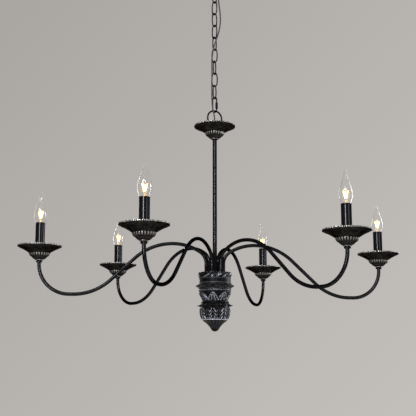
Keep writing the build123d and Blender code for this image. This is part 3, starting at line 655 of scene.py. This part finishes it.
ride_as(leaf_collar(node_top("hub_leaf_collar")), "hub_leaf_collar", "fixture")
collar_ring = turned(
    "hub_leaf_root",
    profile(
        arc((34.0, 0.0), (39.5, -1.5), (40.2, -4.0), 8),
        line((40.2, -4.0), (28.0, -4.0), 2),
        line((28.0, -4.0), (28.0, 0.0), 2),
        line((28.0, 0.0), (34.0, 0.0), 2),
    ),
    HUB_AXIS, node_top("hub_leaf_collar"), 144, IRON, sharp_degrees=50)
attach(collar_ring, "fixture")


def body_relief(theta, r, z):
    """Acanthus leaves: a cut middle vein, rising side veins, and a smaller leaf between them."""
    outside = 1.0 * ((z < -0.2) & (r > 33.5))
    height = 0 * r
    raised = 0 * r
    rough = mottle(theta, r, z, 0.22)
    for offset, top, reach, strength in ((0.0, 12.0, 0.66, 1.2), (0.5, 17.0, 0.40, 0.6)):
        across = np.abs(leaf_share(theta, offset))
        down = -z - top
        length = window(down, 0.0, 44.0 - top, 2.0) * outside
        spread = reach * np.clip(0.30 + down / 16.0, 0, 1)
        leaf = np.clip((1.0 - across / spread) * 5, 0, 1) * length
        veins = 0 * r
        for step in range(4):
            veins = veins + ridge(down - 3.0 - 9.5 * step - 22.0 * across, 2.0)
        stalk = ridge(across, 0.075) * length
        height = height + strength * leaf * (1.0 + 1.6 * veins) - 2.6 * strength * stalk
        # silver share, part silver rub and part painted highlight: on the side veins and foot ring,
        # none in the middle vein
        rub_and_highlight = np.clip(0.7 + 1.3 * rough, 0, 1)
        raised = raised + strength * leaf * veins * (1 - ridge(across, 0.14)) * rub_and_highlight
    foot = ridge(z + 43.5, 1.2) * outside
    return height + 0.5 * foot + 0.2 * rough * outside, raised + 0.3 * foot


body_height = (node_top("hub_body") - node_bottom("hub_body")) / MM
body = turned(
    "hub_body_cast",
    profile(
        line((33.5, 0.0), (36.0, 0.0), 2),
        arc((36.0, 0.0), (41.0, -20.0), (34.8, -body_height), 66),
        line((34.8, -body_height), (HUB_BORE_R, -body_height), 2),
        line((HUB_BORE_R, -body_height), (HUB_BORE_R, -body_height + BODY_FLOOR), 2),
        line((HUB_BORE_R, -body_height + BODY_FLOOR), (32.5, -body_height + BODY_FLOOR), 2),
        arc((32.5, -body_height + BODY_FLOOR), (39.0, -20.0), (33.0, -0.5), 8),
    ),
    HUB_AXIS, node_top("hub_body"), HUB_SEGMENTS, IRON, body_relief, sharp_degrees=75)
ride_as(body, "hub_body", "fixture")


def disc_relief(theta, r, z):
    """Plain disc whose rounded edge is painted bright: part silver rub, part painted highlight."""
    return 0 * r, 0.95 * (r > 34.0)


disc = turned(
    "hub_disc_cast",
    profile(
        line((HUB_BORE_R, 0.0), (34.4, 0.0), 2),
        arc((34.4, 0.0), (36.0, -DISC_THICKNESS / 2), (34.4, -DISC_THICKNESS), 10),
        line((34.4, -DISC_THICKNESS), (HUB_BORE_R, -DISC_THICKNESS), 2),
    ),
    HUB_AXIS, node_top("hub_disc"), 192, IRON, disc_relief, sharp_degrees=60)
ride_as(disc, "hub_disc", "fixture")


def finial_relief(theta, r, z):
    """Faint upright ribs that die out towards the nose."""
    ribs = np.cos(theta * 20) * window(z, -22.0, -3.0, 3.0)
    rough = mottle(theta, r, z, 0.3)
    # silver share, part silver rub and part painted highlight, on the rib crests
    return 0.35 * ribs + 0.2 * rough, 0.16 * np.clip(ribs, 0, 1) + 0.10 * np.clip(rough, 0, 1)


finial_height = (node_top("hub_finial") - node_bottom("hub_finial")) / MM
finial = turned(
    "hub_finial_cast",
    profile(
        line((30.0, 0.0), (FINIAL_R, -0.2), 2),
        line((FINIAL_R, -0.2), (FINIAL_R, -1.5), 3),
        arc((FINIAL_R, -1.5), (17.5, -15.0), (10.0, -26.0), 34),
        arc((10.0, -26.0), (7.0, -29.2), (2.0, -finial_height), 10),
        line((2.0, -finial_height), (0.3, -finial_height), 2),
    ),
    HUB_AXIS, node_top("hub_finial"), 240, IRON, finial_relief, closed=False, sharp_degrees=60)
ride_as(finial, "hub_finial", "fixture")

# ---- candle sleeves ----------------------------------------------------------------------------
SLEEVE_R = 13.0
SLEEVE_WALL = 1.0


def sleeve_points(height):
    """Rolled mouth and a plain foot; the bore is what the lamp holder stands in."""
    inside = SLEEVE_R - SLEEVE_WALL
    return profile(
        arc((inside + 0.1, 0.0), (12.6, 0.35), (SLEEVE_R + 0.25, -0.4), 8),
        arc((SLEEVE_R + 0.25, -0.4), (SLEEVE_R + 0.3, -1.0), (SLEEVE_R, -1.8), 6),
        line((SLEEVE_R, -1.8), (SLEEVE_R, -height), 16),
        line((SLEEVE_R, -height), (inside, -height), 2),
        line((inside, -height), (inside, -1.0), 6),
        line((inside, -1.0), (inside + 0.1, 0.0), 2),
    )


def sleeve_relief(theta, r, z):
    """Thin tube that isn't quite true."""
    return 0.06 * np.sin(2 * theta + 0.05 * z) * (r > 12.5), 0 * r


sleeve_top = node_top("candle_sleeves")
sleeve_height = (sleeve_top - node_bottom("candle_sleeves")) / MM
for index in range(1, ARM_COUNT + 1):
    sleeve = turned(f"candle_sleeve_{index}", sleeve_points(sleeve_height),
                    node_centre(f"drip_pan_{index}"), sleeve_top, 96, SLEEVE_BLACK, sleeve_relief,
                    sharp_degrees=60)
    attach(sleeve, "fixture")
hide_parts("candle_sleeves")

# ---- bulbs -------------------------------------------------------------------------------------
BULB_OUTLINE = [(8.0, -8.0), (9.6, -3.5), (12.0, 2.0), (15.6, 11.0), (17.4, 20.0), (17.1, 28.0),
                (14.9, 38.0), (11.3, 49.0), (7.7, 60.0), (4.8, 70.0), (2.7, 79.0), (1.1, 86.0),
                (0.25, 87.5)]
GLASS_WALL = 0.7
SOLID_TIP_POINTS = 4            # outline points at the tip, where the glass has no hollow
TIP_LEAN = 3.4
TIP_LEAN_FROM = 42.0
TIP_LEAN_LENGTH = 45.5
CAP_DROP = 8.0
CAP_THREADS = 6
CAP_PITCH = 3.2
SUPPORT_R = 0.25
SUPPORT_ROUTE = ((0.8, 2.0), (1.2, 6.0), (1.6, 10.0), (1.6, 13.4))      # outwards, upwards
FILAMENT_R = 0.26
FILAMENT_POINTS = 145
FILAMENT_LEGS = 12              # runs between the zigzag's low and high ends
FILAMENT_SWEEP = 1.7 * pi       # how far round the stem the zigzag goes
FILAMENT_LOW = 13.0
FILAMENT_RISE = 19.0
FILAMENT_LOW_R = 2.0
FILAMENT_WIDENS = 5.2


def smooth_profile(points, steps=5):
    """Catmull-Rom curve through the outline's points."""
    points = np.asarray(points, float)
    padded = np.concatenate([[2 * points[0] - points[1]], points, [2 * points[-1] - points[-2]]])
    out = []
    for index in range(1, len(padded) - 2):
        before, start, end, after = padded[index - 1:index + 3]
        for share in np.linspace(0, 1, steps, endpoint=False):
            out.append(0.5 * (2 * start + (end - before) * share
                              + (2 * before - 5 * start + 4 * end - after) * share ** 2
                              + (3 * start - before - 3 * end + after) * share ** 3))
    out.append(points[-1])
    return np.array(out)


def bend_tip(piece, level, heading):
    """Leans the drawn-out glass tip to one side, as flame bulbs have it."""
    for vertex in piece.data.vertices:
        rise = (vertex.co.z - level) / MM
        lean = MM * TIP_LEAN * max(0.0, (rise - TIP_LEAN_FROM) / TIP_LEAN_LENGTH) ** 2
        vertex.co.x += lean * cos(heading)
        vertex.co.y += lean * sin(heading)


def make_bulb(index):
    """Glass flame, its screw cap and stem, and the lit zigzag filament on two supports."""
    node = f"bulb_{index}"          # its body has the same name
    centre = node_centre(node)
    heading = radians(40 + 67 * index)
    outline = smooth_profile(BULB_OUTLINE)[::-1]
    inner = outline[SOLID_TIP_POINTS:][::-1] - np.array([GLASS_WALL, 0.0])
    glass = turned(f"bulb_glass_{index}", np.concatenate([outline, inner]), centre, sleeve_top, 64,
                   GLASS, closed=False)
    bend_tip(glass, sleeve_top, heading)
    ride_as(glass, node, node)
    cap_points = [(6.5, 0.0)]
    for turn in range(CAP_THREADS):
        cap_points += [(7.0, -2.5 - CAP_PITCH * turn), (6.3, -4.1 - CAP_PITCH * turn)]
    cap_points += [(5.0, -24.0), (2.6, -24.6), (2.4, -27.2), (0.3, -27.4)]
    cap = turned(f"bulb_cap_{index}", np.array(cap_points), centre, sleeve_top - CAP_DROP * MM, 48,
                 BRASS, closed=False)
    # the stem glows with painted light from the filament
    stem = turned(
        f"bulb_stem_{index}",
        profile(line((0.3, 9.0), (1.5, 8.4), 3), arc((1.5, 8.4), (2.0, 2.0), (5.0, -6.5), 10)),
        centre, sleeve_top, 32, LIT_STEM, closed=False)
    pieces = [cap, stem]
    across = np.array([cos(heading), sin(heading), 0])
    base = np.array([centre.x, centre.y, sleeve_top])
    for side in (-1, 1):
        route = [base + MM * (side * reach * across + np.array([0, 0, rise]))
                 for reach, rise in SUPPORT_ROUTE]
        support = tube(f"bulb_support_{index}_{'a' if side < 0 else 'b'}", route, SUPPORT_R * MM,
                       SUPPORT, 8)
        pieces.append(support)
    share = np.linspace(0, 1, FILAMENT_POINTS)
    beside = np.array([-across[1], across[0], 0])
    up = 0.5 - 0.5 * np.cos(share * FILAMENT_LEGS * pi)
    spread = FILAMENT_LOW_R + FILAMENT_WIDENS * up
    around = FILAMENT_SWEEP * (share - 0.5)
    coil = (base + MM * (spread * np.sin(around))[:, None] * across
            + MM * (spread * np.cos(around))[:, None] * beside
            + MM * (FILAMENT_LOW + FILAMENT_RISE * up)[:, None] * np.array([0, 0, 1]))
    filament = tube(f"bulb_filament_{index}", coil, FILAMENT_R * MM, FILAMENT, 8)
    pieces.append(filament)
    for piece in pieces:
        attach(piece, node)


for index in range(1, ARM_COUNT + 1):
    make_bulb(index)


# ---- supply cord -------------------------------------------------------------------------------
def cord_line():
    """Points read from the cord's own NURBS spline."""
    curve = bpy.data.curves.new("cord_route", "CURVE")
    curve.dimensions = "3D"
    curve.resolution_u = 24
    spline = curve.splines.new("NURBS")
    spline.points.add(len(CORD_POINTS) - 1)
    for point, place in zip(spline.points, CORD_POINTS):
        point.co = (*place, 1.0)
    spline.order_u = 3
    spline.use_endpoint_u = True
    carrier = bpy.data.objects.new("cord_route", curve)
    bpy.context.scene.collection.objects.link(carrier)
    sampled = bpy.data.meshes.new_from_object(carrier)
    points = np.array([tuple(vertex.co) for vertex in sampled.vertices])
    bpy.data.meshes.remove(sampled)
    bpy.data.objects.remove(carrier)
    bpy.data.curves.remove(curve)
    return points


# the joints that the cord crosses, from the ceiling down
swing_joints = [joint for joint in frame["joints"] if "supply_cord" in json.dumps(joint)]
swing_joints.sort(key=lambda joint: -joint["pos_m"][2])
hinge_levels = [joint["pos_m"][2] for joint in swing_joints]
cut_levels = [(above + below) / 2 for above, below in zip(hinge_levels, hinge_levels[1:])]


def split_cord(points, levels):
    """Runs of the cord between the cut levels, each ending where the next begins."""
    for level in levels:
        below = int(np.argmax(points[:, 2] < level))
        upper, lower = points[below - 1], points[below]
        share = (upper[2] - level) / (upper[2] - lower[2])
        if 0.02 < share < 0.98:
            points = np.insert(points, below, upper + share * (lower - upper), axis=0)
    cuts = [0] + [int(np.argmin(np.abs(points[:, 2] - level))) for level in levels]
    cuts.append(len(points) - 1)
    return points, list(zip(cuts, cuts[1:]))


cord_points, cord_runs = split_cord(cord_line(), cut_levels)
_, cord_across, cord_over = frames_along(cord_points)
for number, ((first, last), joint) in enumerate(zip(cord_runs, swing_joints), start=1):
    run = cord_points[first:last + 1]
    run_frames = (None, cord_across[first:last + 1], cord_over[first:last + 1])
    piece = tube(f"supply_cord_{number}", run, CORD_DIAMETER / 2, CORD_BLACK, 16, run_frames)
    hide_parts("supply_cord")
    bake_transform(piece)

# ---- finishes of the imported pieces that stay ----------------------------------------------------
FINISHES = {
    WROUGHT: ["canopy", "canopy_collar", "canopy_loop", "quick_link", "quick_link_nut",
              "hanging_ring", "stem_eye", "stem_tube", "pan_collars"]
             + [f"chain_link_{index}" for index in range(1, LINK_COUNT + 1)]
             + [f"arm_{index}" for index in range(1, ARM_COUNT + 1)],
    ZINC: ["mounting_strap", "threaded_nipple", "nipple_nut", "stem_nuts", "tie_rod", "arm_plate",
           "arm_nuts", "pan_nuts"],
    BRASS: ["ground_screw"],
    WIRE_WHITE: ["stem_lead", "arm_leads"],
    CONNECTOR: ["wire_connectors"],
    HOLDER: ["lamp_holders"],
}
for material, names in FINISHES.items():
    for name in names:
        mesh = frame["nodes"][name].data
        mesh.materials.clear()
        mesh.materials.append(material)

# ---- floor, light and air ----------------------------------------------------------------------
FLOOR_LEVEL = -2.3
FLOOR_R = 9.0
AIM = Vector((0.0, 0.0, -0.85))

floor_turn = np.linspace(0, 2 * pi, 128, endpoint=False)
floor_rim = [(FLOOR_R * cos(turn), FLOOR_R * sin(turn), FLOOR_LEVEL) for turn in floor_turn]
floor_paint = plain_material("floor_pale", (0.60, 0.585, 0.56), (0.63, 0.615, 0.59), 0.8, scale=3.0,
                             bump=0.05)
floor = mesh_object("floor", floor_rim, [tuple(range(len(floor_rim)))], floor_paint)

AIR_SLOPE = (0.508, 0.0, -0.492)        # the direction in which the studio wall gets lighter
AIR_DARK = (0.395, 0.378, 0.362)
AIR_LIGHT = (0.545, 0.522, 0.500)
AIR_REACH = 0.24                        # from the dark to the light tone, along that slope, each way

world = bpy.data.worlds.new("air")
world.use_nodes = True
air_tree = world.node_tree
air_way = air_tree.nodes.new("ShaderNodeTexCoord").outputs["Generated"]
air_slope = air_tree.nodes.new("ShaderNodeVectorMath")
air_slope.operation = "DOT_PRODUCT"
air_slope.inputs[1].default_value = AIR_SLOPE
air_tree.links.new(air_way, air_slope.inputs[0])
air_share = map_range(air_tree, air_slope.outputs["Value"], -AIR_REACH, AIR_REACH, 0.0, 1.0)
air_tree.links.new(mix_colours(air_tree, air_share, AIR_DARK, AIR_LIGHT),
                   air_tree.nodes["Background"].inputs["Color"])
bpy.context.scene.world = world
bpy.context.scene.view_settings.view_transform = "Standard"


def area_light(name, place, width, height, power, colour):
    data = bpy.data.lights.new(name, "AREA")
    data.shape = "RECTANGLE"
    data.size = width
    data.size_y = height
    data.energy = power
    data.color = colour
    lamp = bpy.data.objects.new(name, data)
    lamp.location = place
    lamp.rotation_euler = (AIM - Vector(place)).to_track_quat("-Z", "Y").to_euler()
    lamp.visible_camera = False
    lamp.visible_transmission = False
    bpy.context.scene.collection.objects.link(lamp)


area_light("key", (-0.9, -2.1, 0.8), 2.8, 0.30, 44.0, (1.0, 0.98, 0.95))
area_light("left_strip", (-1.15, -2.15, -0.7), 0.20, 1.9, 56.0, (0.86, 0.92, 1.0))
area_light("right_window", (2.2, 0.5, -0.6), 0.6, 1.8, 42.0, (0.95, 0.97, 1.0))
area_light("right_front", (1.5, -2.1, -0.8), 0.25, 1.4, 7.0, (0.90, 0.94, 1.0))
area_light("back_fill", (-0.8, 2.6, -0.2), 1.2, 1.2, 20.0, (1.0, 0.98, 0.95))
